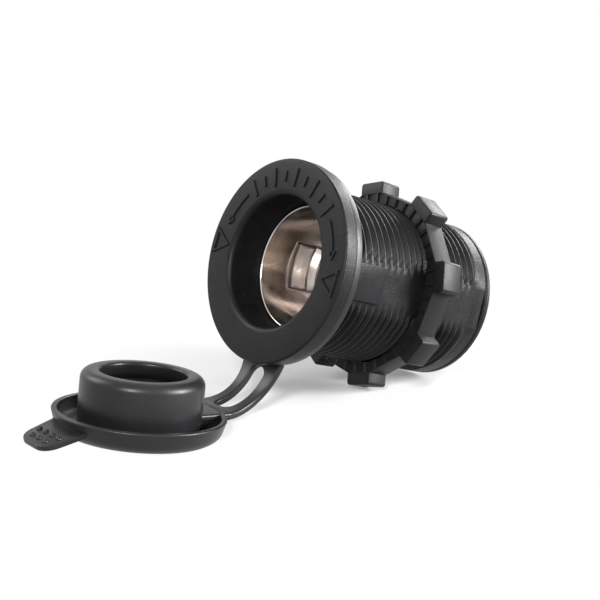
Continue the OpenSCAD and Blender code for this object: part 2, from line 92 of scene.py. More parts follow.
# The lip that holds the shell's rim
RIM_LIP_LEN = 0.4
RIM_LIP_IN = 0.15
RIM_Y = SHELL_LOW.y
RIM_BACK = RIM_Y + RIM_LIP_LEN
RIM_LIP_R = MOUTH_R - RIM_LIP_IN
# The turn of all the marks, in radians
MARK_TURN = math.radians(4.5)
# Spans and gaps in degrees, lengths in mm, and the arrowhead's half width as a share of its length
TICK_COUNT = 9
TICK_SPAN = 84
TICK_LEN = 3.2
SHORT_TICK_LEN = 1.8
ARROW_GAP = 8
ARROW_SPAN = 24
ARROW_HEAD = 1.5
ARROW_SPREAD = 0.6
TRIANGLE_SIDE = 4.8

# Barrel
THREAD_PITCH = 1.54
THREAD_DEPTH = 0.7
THREAD_CREST = 0.33
THREAD_SLOPE = 30
CREST_ROUND = 0.1
RUN_OUT = 1.2
NECK = 0.5
COLLAR = 2.6
FLAT_D = 13.2
COLLAR_FLAT_D = 13.7
COLLAR_RAMP = 0.9
PAD_D = 13.85
PAD_LEN = 8.9
PAD_W = 6.2
PAD_BEVEL = 0.18
PAD_SINK = 0.4
PAD_START = -0.2
SEAM = 0.3
CAVITY_R = 12.3
# Steps across a flat's edge, across the rest of the flat, and along a quarter of the round part
EDGE_STEPS = 5
FLAT_STEPS = 3
ROUND_STEPS = 54

# Nut
NUT_SIDE = 16.05
NUT_LUG_R = 18.4
NUT_LUG_W = 5.4
NUT_LUGS = 8
NUT_TURN = 13
NUT_TEETH = 40
NUT_TOOTH_END = 16.35
NUT_NOTCH = 0.4
NUT_BORE = 14.35
NUT_BEVEL = 0.2
LUG_CORNER = 0.55
SIDE_STEPS = 12
BORE_LEAD = 0.4
BORE_EDGE = 0.05
TOOTH_GAP = 0.02
TOOTH_SHIFT = 0.1
# One tooth and its notch: share of the pitch, and depth below the nut's front
TOOTH_FORM = ((0, 0), (0.04, 0.12), (0.72, NUT_NOTCH), (0.75, 0.06), (0.78, 0))

# Dust cap, open
RING_GAP = 0.3
RING_EDGE = 0.3
STRAP_T = 1.2
STRAP_EDGE = 0.35
STRAP_LAP = 0.4
STRAP_W = 10.4
STRAP_WAIST = 1.2
WAIST_R = 20
SLOT_W = 3.6
SLOT_DROP = 0.7
# How far below the ring's edge the strap's bend begins, so that its corners reach into the ring
STRAP_IN = 0.1
STRAP_ROOT = RING_R - math.sqrt(RING_R ** 2 - (STRAP_W / 2) ** 2) + STRAP_IN
BEND_R = 9.9
STRAP_RUN = 0.4
PAD_LIP = 0.3
# How far the rubber below the pad stays inside its sides, and reaches into the pad and the dish's floor
FILL_IN = 0.05
FILL_UP = 0.2
FILL_DOWN = 0.1
CAP_PITCH = math.radians(9.2)
BEND_ANGLE = math.pi / 2 - CAP_PITCH
BEND_LEN = BEND_R * BEND_ANGLE
DISH_R = 13.75
DISH_H = 3.6
DISH_TAPER = 0.4
DISH_ROUND = 2.4
DISH_WALL = 0.9
DISH_FLOOR = 1.3
DISH_RIM = 0.25
DISH_RIM_BEVEL = 0.1
# Small steps of the dish's section: underside, outer side below the rim, rim, foot of the inner side
BASE_IN = 0.3
SIDE_IN, SIDE_DOWN = 0.06, 0.35
RIM_IN = 0.3
WALL_FOOT_OUT, WALL_FOOT_UP = 0.35, 0.5
PLUG_R = 9.75
# Rounding at the plug's foot
PLUG_FOOT = 0.35
# How much narrower the plug is at its foot and part of the way up, and where it reaches its full width
PLUG_FOOT_IN = 0.2
PLUG_LOW_IN, PLUG_LOW_Z = 0.05, 3.0
PLUG_FULL_Z = 4.6
PLUG_H = 9.9
PLUG_WALL = 2.0
PLUG_HOLE_R = 6.85
LIP_LEN = 1.6
LIP_OUT = 1.5
LIP_IN = 0.5
# First step of the lip's underside, and how steeply it falls from the lip to the hollow's wall
LIP_BACK_OUT, LIP_BACK_DOWN = 0.3, 0.6
LIP_FALL = 1.4
HOLLOW_BEVEL = 0.4
TAB_REACH = 18.7
TAB_W = 9.8
TAB_TIP_W = 8.6
TAB_CORNER = 2.8
TAB_T = 0.9
TAB_EDGE = 0.22
TAB_Z = 1.8
TAB_SLOPE = math.radians(18)
DOT_R = 0.48
DOT_H = 0.4
DOT_PITCH = 1.95
DOT_ROW = 1.7
DOT_INSET = 1.5
DOT_SINK = 0.02
DOT_STEPS = 5

# Shell
SHELL_R = 10.5
SHELL_WALL = 0.5
POCKET_DEPTH = 1.1
POCKET_LEN = 7.1
POCKET_W = 7.5
POCKET_BACK = 6.3
RAMP_FRONT = 2.0
RAMP_REAR = 1.5
# Angle over which a pocket's side rises, and length over which its bends are evened out
POCKET_SIDE = 0.035
POCKET_SOFT = 0.22
POCKET_HALF = math.asin(POCKET_W / 2 / SHELL_R)
POCKET_NEAR = RIM_Y + POCKET_BACK
POCKET_FAR = POCKET_NEAR + POCKET_LEN
POCKET_STEPS = 6
FLOOR_ROUND = 2.0
FLOOR_HOLE_R = 2.7
SHELL_EDGE = 0.12
# The rim's rolled inner edge, and the middle of its rounding
ROLL = 0.13
ROLL_MIDDLE = 0.04
# Bare wall between the rim and the pockets, and how far the bends' rows reach for one softening length
WALL_STARTS = (0.25, 2)
BEND_REACH = 1.2
# How far the columns of a pocket's side begin beyond it, in widths of the side
SIDE_REACH = 1.5

# Where the open cap lies
RING_MID = -RING_T / 2
BEND_Y = RING_MID - BEND_R
BEND_Z = STRAP_ROOT - RING_R
STRAP_LEVEL = DISH_H - STRAP_T / 2
CAP_REACH = DISH_R + STRAP_RUN
STRAP_END = Vector((0, BEND_Y + BEND_R * math.sin(CAP_PITCH), BEND_Z - BEND_R * math.cos(CAP_PITCH)))
CAP_TURN = Matrix.Rotation(CAP_PITCH, 4, "X")
CAP_ORIGIN = STRAP_END - CAP_TURN @ Vector((0, CAP_REACH, STRAP_LEVEL))
IN_CAP = Matrix.Translation(CAP_ORIGIN) @ CAP_TURN
ON_TAB = Matrix.Translation((0, -DISH_R, TAB_Z)) @ Matrix.Rotation(TAB_SLOPE, 4, "X")
TAB_RUN = (TAB_REACH - DISH_R) / math.cos(TAB_SLOPE)
# How much of the dish's wall the tab and the pad run into
WALL_SHARE = 0.7
INNER_WALL_R = DISH_R - DISH_TAPER - WALL_SHARE * DISH_WALL


class Shape:
    """Points and faces that build up to one piece."""

    def __init__(self):
        self.points = []
        self.faces = []

    def add(self, points, faces):
        start = len(self.points)
        self.points += [Vector(p) for p in points]
        self.faces += [tuple(start + i for i in f) for f in faces]
        return self

    def grid(self, rows, closed=False, ends_joined=False):
        """Joins rows of points of the same length into quads. A closed row also joins its last point
        to its first."""
        n = len(rows[0])
        faces = []
        last = len(rows) if ends_joined else len(rows) - 1
        for i in range(last):
            k = (i + 1) % len(rows)
            for j in range(n if closed else n - 1):
                m = (j + 1) % n
                faces.append((i * n + j, k * n + j, k * n + m, i * n + m))
        return self.add([p for row in rows for p in row], faces)

    def move(self, matrix):
        self.points = [matrix @ p for p in self.points]
        return self


def polar(r, angle, y):
    return Vector((r * math.cos(angle), y, r * math.sin(angle)))


def angles(count):
    return [2 * math.pi * i / count for i in range(count)]


def lathe(shape, profile, count=192):
    """Turns a profile of (radius, y) round the axis."""
    return shape.grid([[polar(r, a, y) for a in angles(count)] for r, y in profile], closed=True)


def arc(cx, cy, r, start, end, steps):
    turn = [math.radians(start + (end - start) * i / steps) for i in range(steps + 1)]
    return [(cx + r * math.cos(a), cy + r * math.sin(a)) for a in turn]


def finish_mesh(mesh, crease):
    """Joins doubled points, faces everything outwards and keeps edges above the crease angle sharp."""
    doubled, flat = 2e-7, 1e-7
    bm = bmesh.new()
    bm.from_mesh(mesh)
    bmesh.ops.remove_doubles(bm, verts=bm.verts, dist=doubled)
    bmesh.ops.dissolve_degenerate(bm, edges=bm.edges, dist=flat)
    bmesh.ops.recalc_face_normals(bm, faces=bm.faces)
    for face in bm.faces:
        face.smooth = True
    bm.to_mesh(mesh)
    bm.free()
    mesh.set_sharp_from_angle(angle=math.radians(crease))


def piece(name, shape, material, body, nodes=(), crease=35):
    """Makes one piece of a shape, with the nodes that it replaces and the body that it rides on."""
    mesh = bpy.data.meshes.new(name)
    mesh.from_pydata([tuple(p * MM) for p in shape.points], [], shape.faces)
    mesh.validate()
    finish_mesh(mesh, crease)
    mesh.materials.append(material)
    made = bpy.data.objects.new(name, mesh)
    bpy.context.scene.collection.objects.link(made)
    if nodes:
        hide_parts(*nodes)
    if body:
        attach(made, body)
    return made


# Materials

# How much coarser a finish's broad patches are than its grain, and the detail of both
BROAD = 12
FINE_DETAIL = 4
BROAD_DETAIL = 3
# The part of the noise's range that is spread over the roughness
NOISE_LOW, NOISE_HIGH = 0.3, 0.7


def material(name, color, roughness, metallic=0.0, **values):
    """A plain shader. The grain that follows spreads the roughness over a range of its own."""
    made = bpy.data.materials.new(name)
    made.use_nodes = True
    shader = made.node_tree.nodes["Principled BSDF"]
    shader.inputs["Base Color"].default_value = (*color, 1)
    shader.inputs["Roughness"].default_value = roughness
    shader.inputs["Metallic"].default_value = metallic
    for key, value in values.items():
        shader.inputs[key.replace("_", " ")].default_value = value
    return made


def grain(made, scale, height, rough_low, rough_high, stretch=(1, 1, 1), tone=None):
    """Adds a fine relief, and broad patches that differ in roughness and in tone."""
    tree = made.node_tree
    shader = tree.nodes["Principled BSDF"]
    place = tree.nodes.new("ShaderNodeTexCoord")
    mapping = tree.nodes.new("ShaderNodeMapping")
    mapping.inputs["Scale"].default_value = stretch
    fine = tree.nodes.new("ShaderNodeTexNoise")
    fine.inputs["Scale"].default_value = scale
    fine.inputs["Detail"].default_value = FINE_DETAIL
    broad = tree.nodes.new("ShaderNodeTexNoise")
    broad.inputs["Scale"].default_value = scale / BROAD
    broad.inputs["Detail"].default_value = BROAD_DETAIL
    bump = tree.nodes.new("ShaderNodeBump")
    bump.inputs["Strength"].default_value = 1
    bump.inputs["Distance"].default_value = height
    spread = tree.nodes.new("ShaderNodeMapRange")
    spread.inputs["From Min"].default_value = NOISE_LOW
    spread.inputs["From Max"].default_value = NOISE_HIGH
    spread.inputs["To Min"].default_value = rough_low
    spread.inputs["To Max"].default_value = rough_high
    link = tree.links.new
    link(place.outputs["Object"], mapping.inputs["Vector"])
    link(mapping.outputs["Vector"], fine.inputs["Vector"])
    link(mapping.outputs["Vector"], broad.inputs["Vector"])
    link(fine.outputs["Fac"], bump.inputs["Height"])
    link(bump.outputs["Normal"], shader.inputs["Normal"])
    link(broad.outputs["Fac"], spread.inputs["Value"])
    link(spread.outputs["Result"], shader.inputs["Roughness"])
    if tone:
        blend = tree.nodes.new("ShaderNodeMix")
        blend.data_type = "RGBA"
        blend.inputs["A"].default_value = shader.inputs["Base Color"].default_value[:]
        blend.inputs["B"].default_value = (*tone, 1)
        link(broad.outputs["Fac"], blend.inputs["Factor"])
        link(blend.outputs["Result"], shader.inputs["Base Color"])
    return made


def make_materials():
    """Each finish has a plain shader and a grain, given as scale, height, lowest and highest roughness."""
    black = material("housing_nylon", (0.0056, 0.0054, 0.0062), 0.4, Specular_IOR_Level=0.15)
    nut = material("nut_nylon", (0.0046, 0.0045, 0.005), 0.44, Specular_IOR_Level=0.2)
    rubber = material("cap_rubber", (0.0074, 0.0072, 0.008), 0.34, Specular_IOR_Level=0.3)
    nickel = material("shell_nickel", (0.86, 0.81, 0.78), 0.14, 1.0)
    brass = material("contact_brass", (0.68, 0.6, 0.48), 0.28, 1.0)
    tin = material("terminal_tin", (0.62, 0.61, 0.58), 0.3, 1.0)
    board = material("insulator_board", (0.1, 0.066, 0.048), 0.6)
    return {
        "housing": grain(black, 4200, 0.00006, 0.31, 0.43, tone=(0.0095, 0.0091, 0.0102)),
        "nut": grain(nut, 1500, 0.00003, 0.38, 0.5, tone=(0.0085, 0.0083, 0.009)),
        "rubber": grain(rubber, 1100, 0.00002, 0.3, 0.44, tone=(0.0118, 0.0115, 0.0126)),
        "nickel": grain(nickel, 1400, 0.000006, 0.1, 0.2, stretch=(1, 5, 1), tone=(0.78, 0.73, 0.7)),
        "brass": grain(brass, 900, 0.00001, 0.22, 0.36),
        "tin": grain(tin, 900, 0.00001, 0.24, 0.38),
        "board": grain(board, 1500, 0.00003, 0.5, 0.7),
    }


# Housing

def flange(shape):
    profile = [(CAVITY_R, RIM_BACK), (RIM_LIP_R, RIM_BACK), (RIM_LIP_R, RIM_Y), (MOUTH_R, RIM_Y)]
    profile += arc(MOUTH_R + MOUTH_ROUND, FACE_Y + MOUTH_ROUND, MOUTH_ROUND, 180, 270, 10)
    inset = FLANGE_R - FLANGE_BEVEL
    profile += arc(inset, FACE_Y + FLANGE_BEVEL, FLANGE_BEVEL, -90, 0, 6)
    profile += [(FLANGE_R, FLANGE_BACK - BACK_BEVEL), (FLANGE_R - BACK_BEVEL, FLANGE_BACK)]
    profile += [(BARREL_R, FLANGE_BACK), (BARREL_R, 0)]
    lathe(shape, profile, 256)


def barrel_angles():
    """Angles round the barrel, with columns where the flats cut its crests and its root."""
    crest_edge = math.acos(FLAT_D / BARREL_R)
    root_edge = math.acos(FLAT_D / (BARREL_R - THREAD_DEPTH))
    side = [crest_edge - (crest_edge - root_edge) * i / EDGE_STEPS for i in range(EDGE_STEPS + 1)]
    side += [root_edge * (1 - i / FLAT_STEPS) for i in range(1, FLAT_STEPS)]
    side.append(math.acos(COLLAR_FLAT_D / BARREL_R))
    quarter = [crest_edge + (math.pi / 2 - crest_edge) * i / ROUND_STEPS for i in range(1, ROUND_STEPS + 1)]
    half = [0.0] + sorted(side) + quarter
    upper = half + [math.pi - a for a in reversed(half[:-1])]
    return upper + [2 * math.pi - a for a in reversed(upper[1:-1])]


def flat_point(angle, r, y, flat=FLAT_D):
    point = polar(r, angle, y)
    point.x = min(max(point.x, -flat), flat)
    return point


def thread_point(angle, along, depth):
    """Point on the thread, which winds round the barrel and fades out at both ends."""
    start, end = NECK, BARREL_END - COLLAR
    y = min(max(along - THREAD_PITCH * angle / (2 * math.pi), start), end)
    fade = min(1, (y - start) / RUN_OUT, (end - y) / RUN_OUT)
    return flat_point(angle, BARREL_R - depth * fade * fade * (3 - 2 * fade), y)


def barrel(shape):
    columns = barrel_angles()
    flank = THREAD_DEPTH * math.tan(math.radians(THREAD_SLOPE))
    form = [
        (0, CREST_ROUND),
        (CREST_ROUND, 0),
        (THREAD_CREST - CREST_ROUND, 0),
        (THREAD_CREST, CREST_ROUND),
        (THREAD_CREST + flank, THREAD_DEPTH),
        (THREAD_PITCH - flank, THREAD_DEPTH),
    ]
    turns = int((BARREL_END - COLLAR - NECK) / THREAD_PITCH) + 3
    columns_open = columns + [2 * math.pi]
    rows = []
    for turn in range(-1, turns):
        for along, depth in form:
            start = NECK + turn * THREAD_PITCH + along
            rows.append([thread_point(a, start, depth) for a in columns_open])
    shape.grid(rows)
    neck = [[flat_point(a, BARREL_R, y) for a in columns] for y in (0, NECK)]
    shape.grid([[polar(BARREL_R, a, 0) for a in columns]] + neck, closed=True)
    collar = [
        (BARREL_END - COLLAR, BARREL_R, FLAT_D),
        (BARREL_END - COLLAR + COLLAR_RAMP, BARREL_R, COLLAR_FLAT_D),
        (BARREL_END - SEAM, BARREL_R, COLLAR_FLAT_D),
        (BARREL_END, BARREL_R - SEAM, COLLAR_FLAT_D - SEAM),
    ]
    rows = [[flat_point(a, r, y, flat) for a in columns] for y, r, flat in collar]
    rows.append([polar(CAVITY_R, a, BARREL_END) for a in columns])
    shape.grid(rows, closed=True)


def cavity(shape):
    lathe(shape, [(CAVITY_R, RIM_BACK), (CAVITY_R, BARREL_END)])


def side_pads(shape):
    part = PAD_BEVEL * BEVEL_MIDDLE
    levels = ((FLAT_D - PAD_SINK, 0), (PAD_D - PAD_BEVEL, 0), (PAD_D - part, part), (PAD_D, PAD_BEVEL))
    for side in (-1, 1):
        rows = []
        for x, inset in levels:
            half = PAD_W / 2 - inset
            end = PAD_LEN - inset
            corners = ((PAD_START, -half), (end, -half), (end, half), (PAD_START, half))
            rows.append([Vector((side * x, y, z)) for y, z in corners])
        shape.grid(rows, closed=True)
        n = len(shape.points)
        shape.faces.append((n - 4, n - 3, n - 2, n - 1))


def mitred(path, closed):
    """Unit vectors to the left of a path, made longer at its corners, up to a limit."""
    sharpest = 0.3
    sides = []
    n = len(path)
    for i, p in enumerate(path):
        before = Vector(path[i - 1]) if closed or i else None
        after = Vector(path[(i + 1) % n]) if closed or i < n - 1 else None
        here = Vector(p)
        first = (here - before).normalized() if before is not None else (after - here).normalized()
        second = (after - here).normalized() if after is not None else first
        normal = (Vector((-first.y, first.x)) + Vector((-second.y, second.x))).normalized()
        sides.append(normal / max(sharpest, normal.dot(Vector((-first.y, first.x)))))
    return sides


def raised_line(shape, path, width, closed=False):
    """A line raised on the flange's face along a path in X and Z, with a little draft."""
    base, top = FACE_Y + MARK_SINK, FACE_Y - MARK_H
    half = width / 2
    section = ((-half, base), (LINE_DRAFT - half, top), (half - LINE_DRAFT, top), (half, base))
    rows = []
    for p, side in zip(path, mitred(path, closed)):
        row = []
        for offset, y in section:
            at = Vector(p) + side * offset
            row.append(Vector((at.x, y, at.y)))
        rows.append(row)
    start = len(shape.points)
    shape.grid(rows, ends_joined=closed)
    if not closed:
        end = len(shape.points) - 4
        shape.faces += [(start, start + 1, start + 2, start + 3), (end + 3, end + 2, end + 1, end)]


def raised_figure(shape, outline):
    """A filled figure raised on the flange's face, with a little draft."""
    centre = sum((Vector(p) for p in outline), Vector((0, 0))) / len(outline)
    inner = [Vector(p) + (centre - Vector(p)).normalized() * FIGURE_DRAFT for p in outline]
    rows = [[Vector((p[0], FACE_Y + MARK_SINK, p[1])) for p in outline]]
    rows.append([Vector((p.x, FACE_Y - MARK_H, p.y)) for p in inner])
    shape.grid(rows, closed=True)
    n = len(shape.points)
    shape.faces.append(tuple(range(n - len(outline), n)))


def marks(shape):
    """The row of ticks at the top, and an arrow and a triangle at each side."""
    spin = Matrix.Rotation(-MARK_TURN, 2)
    for i in range(TICK_COUNT):
        a = math.radians(90 - TICK_SPAN / 2 + TICK_SPAN * i / (TICK_COUNT - 1))
        half = (TICK_LEN if i % 2 == 0 else SHORT_TICK_LEN) / 2
        ends = [((MARK_R + d) * math.cos(a), (MARK_R + d) * math.sin(a)) for d in (-half, half)]
        raised_line(shape, [spin @ Vector(p) for p in ends], MARK_LINE)
    tail = 90 - TICK_SPAN / 2 - ARROW_GAP
    tip = tail - ARROW_SPAN
    for side in (-1, 1):
        shaft = [spin @ Vector((side * x, z)) for x, z in arc(0, 0, MARK_R, tail, tip, 12)]
        raised_line(shape, shaft, MARK_LINE)
        spread, half = ARROW_SPREAD * ARROW_HEAD, ARROW_HEAD / 2
        head = [(0, -half), (spread, half), (-spread, half)]
        turn = Matrix.Rotation(math.radians(tip), 2)
        placed = [turn @ Vector((MARK_R + x, z)) for x, z in head]
        raised_figure(shape, [spin @ Vector((side * p.x, p.y)) for p in placed])
        out = TRIANGLE_SIDE / math.sqrt(3)
        middle = MOUTH_R + MOUTH_ROUND + out
        line = out - MARK_LINE
        corners = [math.radians(a) for a in (60, 180, 300)]
        path = [spin @ Vector((side * (middle + line * math.cos(a)), line * math.sin(a))) for a in corners]
        raised_line(shape, path, MARK_LINE, closed=True)


def make_housing(looks):
    shape = Shape()
    flange(shape)
    barrel(shape)
    cavity(shape)
    side_pads(shape)
    marks(shape)
    piece("housing_moulding", shape, looks["housing"], "socket", ["housing"], crease=32)


# Lock nut

def nut_outline():
    """Outline of the flat sides and the lugs on their corners, anticlockwise seen from the front."""
    half = NUT_LUG_W / 2
    step = math.pi / NUT_LUGS
    foot = (NUT_SIDE - half * math.sin(step)) / math.cos(step)
    lug = [(foot, -half)] + arc(NUT_LUG_R - LUG_CORNER, -half + LUG_CORNER, LUG_CORNER, -90, 0, 5)
    lug += arc(NUT_LUG_R - LUG_CORNER, half - LUG_CORNER, LUG_CORNER, 0, 90, 5) + [(foot, half)]
    points = []
    for i in range(NUT_LUGS):
        spin = Matrix.Rotation(math.radians(NUT_TURN) + 2 * step * i, 2)
        points += [spin @ Vector(p) for p in lug]
        start = spin @ Vector((foot, half))
        end = spin @ Matrix.Rotation(2 * step, 2) @ Vector((foot, -half))
        points += [start.lerp(end, k / SIDE_STEPS) for k in range(1, SIDE_STEPS)]
    return points


def inset_outline(points, distance):
    """An anticlockwise outline made smaller by a distance."""
    sides = mitred([tuple(p) for p in points], True)
    return [Vector(p) + side * distance for p, side in zip(points, sides)]


def bevelled(outline, bevel, low, high):
    """Outlines and levels of a plate with a rounded bevel on each face, from the low face to the high."""
    part = bevel * BEVEL_MIDDLE
    inner, middle = inset_outline(outline, bevel), inset_outline(outline, part)
    return [(inner, low), (middle, low + part), (outline, low + bevel),
            (outline, high - bevel), (middle, high - part), (inner, high)]


def tooth_end(angle):
    """Radius at which the locking teeth end: on a circle, or on the bevel of a flat side."""
    step = 2 * math.pi / NUT_LUGS
    off = (angle - math.radians(NUT_TURN)) % step - step / 2
    return min(NUT_TOOTH_END, NUT_SIDE / math.cos(off) - NUT_BEVEL - TOOTH_GAP)


def make_nut(looks):
    shape = Shape()
    outline = nut_outline()
    front, back = NUT_LOW.y, NUT_HIGH.y
    plate = bevelled(outline, NUT_BEVEL, front, back)
    start = [math.atan2(p.y, p.x) for p in plate[0][0]]
    rows = [[polar(tooth_end(a), a, front) for a in start]]
    rows += [[Vector((p.x, y, p.y)) for p in points] for points, y in plate]
    for r, y in ((NUT_BORE + BORE_LEAD, back), (NUT_BORE, back - BORE_LEAD)):
        rows.append([polar(r, math.atan2(p.y, p.x), y) for p in outline])
    shape.grid(rows, closed=True)
    teeth = [
        (2 * math.pi * (i + share + TOOTH_SHIFT) / NUT_TEETH, front + drop)
        for i in range(NUT_TEETH) for share, drop in TOOTH_FORM
    ]
    serrated = [
        [polar(tooth_end(a) + TOOTH_GAP, a, front) for a, y in teeth],
        [polar(tooth_end(a), a, y) for a, y in teeth],
        [polar(NUT_BORE + BORE_EDGE, a, y) for a, y in teeth],
        [polar(NUT_BORE, a, y + BORE_EDGE) for a, y in teeth],
        [polar(NUT_BORE, a, back - BORE_LEAD) for a, y in teeth],
    ]
    shape.grid(serrated, closed=True)
    piece("lugged_nut", shape, looks["nut"], "nut", ["lock_nut"], crease=24)


# Dust cap

def make_cap_ring(looks):
    low, high = RING_LOW.y, RING_HIGH.y
    inner = BARREL_R + RING_GAP
    profile = [(inner, high), (inner, low), (RING_R - RING_EDGE, low)]
    profile += arc(RING_R - RING_EDGE, low + RING_EDGE, RING_EDGE, -90, 0, 5)
    profile += arc(RING_R - RING_EDGE, high - RING_EDGE, RING_EDGE, 0, 90, 5)
    profile += [(inner, high)]
    shape = lathe(Shape(), profile, 256)
    piece("strap_ring_band", shape, looks["rubber"], "strap_ring", ["cap_ring"])


def strap_place(s):
    """Point and outward direction on the strap's middle, at a distance from the start of its bend."""
    a = min(s / BEND_R, BEND_ANGLE)
    out = Vector((0, math.cos(a), -math.sin(a)))
    centre = Vector((0, BEND_Y, BEND_Z))
    along = Vector((0, -math.cos(CAP_PITCH), -math.sin(CAP_PITCH)))
    return centre + out * BEND_R + along * max(0, s - BEND_LEN), out


def strap_half(s):
    """Half the strap's width, which narrows towards the middle of the bend."""
    off = BEND_R * math.sin(s / BEND_R - BEND_ANGLE / 2)
    return min(STRAP_W / 2, STRAP_W / 2 - STRAP_WAIST + WAIST_R - math.sqrt(WAIST_R ** 2 - off ** 2))


# The strap's first sections, its end and its slot, as distances from the start of the bend
STRAP_STARTS = (0.3, 0.8, 1.3)
STRAP_LEN = BEND_LEN + STRAP_RUN - PAD_LIP
SLOT_FROM = BEND_R * math.asin((STRAP_ROOT + SLOT_DROP) / BEND_R)
SLOT_TO = STRAP_LEN - SLOT_W / 4
SLOT_HALF = SLOT_W / 2
SLOT_END_STEPS = 8
SLOT_STEPS = 22
BAND_STEPS = 6


def slot_half(s):
    """Half the slot's width, with round ends."""
    d = min(s - SLOT_FROM, SLOT_TO - s)
    if d <= 0:
        return 0.0
    return SLOT_HALF if d >= SLOT_HALF else math.sqrt(SLOT_HALF ** 2 - (SLOT_HALF - d) ** 2)


def strap_stops():
    """Distances from the start of the bend at which the strap has a section."""
    ends = [SLOT_HALF * (1 - math.cos(math.pi / 2 * i / SLOT_END_STEPS)) for i in range(SLOT_END_STEPS + 1)]
    low, high = SLOT_FROM + SLOT_HALF, SLOT_TO - SLOT_HALF
    stops = list(STRAP_STARTS)
    stops += [SLOT_FROM + end for end in ends]
    stops += [low + (high - low) * i / SLOT_STEPS for i in range(1, SLOT_STEPS)]
    stops += [SLOT_TO - end for end in reversed(ends)]
    return stops + [STRAP_LEN, STRAP_LEN + STRAP_LAP]


def band_section(s):
    """Upper half of one band's section, from its outer edge inwards, as (distance from middle, height)."""
    slot = slot_half(s)
    soft = min(STRAP_EDGE, slot * 0.5)
    near, far = slot + soft, strap_half(s) - STRAP_EDGE
    section = arc(far, STRAP_T / 2 - STRAP_EDGE, STRAP_EDGE, 0, 90, 4)
    section += [(far + (near - far) * k / BAND_STEPS, STRAP_T / 2) for k in range(1, BAND_STEPS)]
    return section + arc(near, STRAP_T / 2 - soft, soft, 90, 180, 4)


def make_strap(looks):
    shape = Shape()
    for side in (-1, 1):
        rows = []
        for s in strap_stops():
            at, out = strap_place(s)
            section = band_section(s)
            section += [(x, -t) for x, t in reversed(section)]
            rows.append([at + Vector((side * x, 0, 0)) + out * t for x, t in section])
        shape.grid(rows, closed=True)
    strap = piece("cap_strap_bands", shape, looks["rubber"], None, ["cap_strap"])
    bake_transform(strap)


def lid_profile():
    """Section of the dish and its plug, from the underside's middle round to the floor of the hollow."""
    low = DISH_R - DISH_TAPER
    rim = DISH_R - DISH_WALL
    inner = PLUG_R - PLUG_WALL
    profile = [(0, 0), (low - DISH_ROUND - BASE_IN, 0)]
    profile += arc(low - DISH_ROUND, DISH_ROUND, DISH_ROUND, -90, -8, 9)
    profile += [(DISH_R - SIDE_IN, DISH_H - SIDE_DOWN)]
    profile += arc(DISH_R - RIM_IN, DISH_H - DISH_RIM, DISH_RIM, 0, 90, 4)
    profile += [(rim + DISH_RIM_BEVEL, DISH_H), (rim, DISH_H - DISH_RIM_BEVEL)]
    profile += [(low - DISH_WALL + WALL_FOOT_OUT, DISH_FLOOR + WALL_FOOT_UP), (low - DISH_WALL, DISH_FLOOR)]
    profile += arc(PLUG_R - PLUG_FOOT_IN + PLUG_FOOT, DISH_FLOOR + PLUG_FOOT, PLUG_FOOT, 270, 180, 4)
    profile += [(PLUG_R - PLUG_LOW_IN, PLUG_LOW_Z), (PLUG_R, PLUG_FULL_Z), (PLUG_R, PLUG_H - LIP_OUT)]
    profile += arc(PLUG_R - LIP_OUT, PLUG_H - LIP_OUT, LIP_OUT, 10, 85, 9)
    profile += arc(PLUG_HOLE_R + LIP_IN, PLUG_H - LIP_IN, LIP_IN, 90, 180, 8)
    profile += [(PLUG_HOLE_R, PLUG_H - LIP_LEN)]
    profile += [(PLUG_HOLE_R + LIP_BACK_OUT, PLUG_H - LIP_LEN - LIP_BACK_DOWN)]
    profile += [(inner, PLUG_H - LIP_LEN - LIP_FALL * (inner - PLUG_HOLE_R))]
    profile += [(inner, DISH_FLOOR + HOLLOW_BEVEL), (inner - HOLLOW_BEVEL, DISH_FLOOR), (0, DISH_FLOOR)]
    return profile


def upright(shape, profile, count):
    """Turns a profile of (radius, height) round the cap's own axis."""
    rows = [[Vector((r * math.cos(a), r * math.sin(a), z)) for a in angles(count)] for r, z in profile]
    return shape.grid(rows, closed=True)


def tab_outline():
    """Outline on the tab's own slope, with its root on a circle inside the dish's wall."""
    half = TAB_W / 2
    tip = TAB_TIP_W / 2 - TAB_CORNER
    low = TAB_CORNER - TAB_RUN
    corner = arc(tip, low, TAB_CORNER, -90, -12, 8)
    points = [(-x, y) for x, y in reversed(corner)] + corner
    root_steps = 8
    for i in range(root_steps + 1):
        x = half - TAB_W * i / root_steps
        points.append((x, (DISH_R - math.sqrt(INNER_WALL_R ** 2 - x * x)) / math.cos(TAB_SLOPE)))
    return points


def tab(shape):
    """The pull tab with its two rows of grip dots, made level and then set on its slope."""
    outline = tab_outline()
    levels = bevelled(outline, TAB_EDGE, 0, TAB_T)
    tongue = Shape()
    tongue.grid([[Vector((p[0], p[1], z - TAB_T)) for p in points] for points, z in levels], closed=True)
    n = len(outline)
    end = len(tongue.points)
    tongue.faces += [tuple(range(n)), tuple(range(end - n, end))]
    dome = []
    for k in range(DOT_STEPS + 1):
        a = math.pi / 2 * k / DOT_STEPS
        dome.append((DOT_R * math.cos(a), (DOT_H + DOT_SINK) * math.sin(a) - DOT_SINK))
    for row in (0, 1):
        for i in range(4 - row):
            place = ((i - 1.5 + row / 2) * DOT_PITCH, DOT_INSET - TAB_RUN + (1 - row) * DOT_ROW, 0)
            dot = upright(Shape(), dome, 20).move(Matrix.Translation(place))
            tongue.add(dot.points, dot.faces)
    tongue.move(ON_TAB)
    shape.add(tongue.points, tongue.faces)


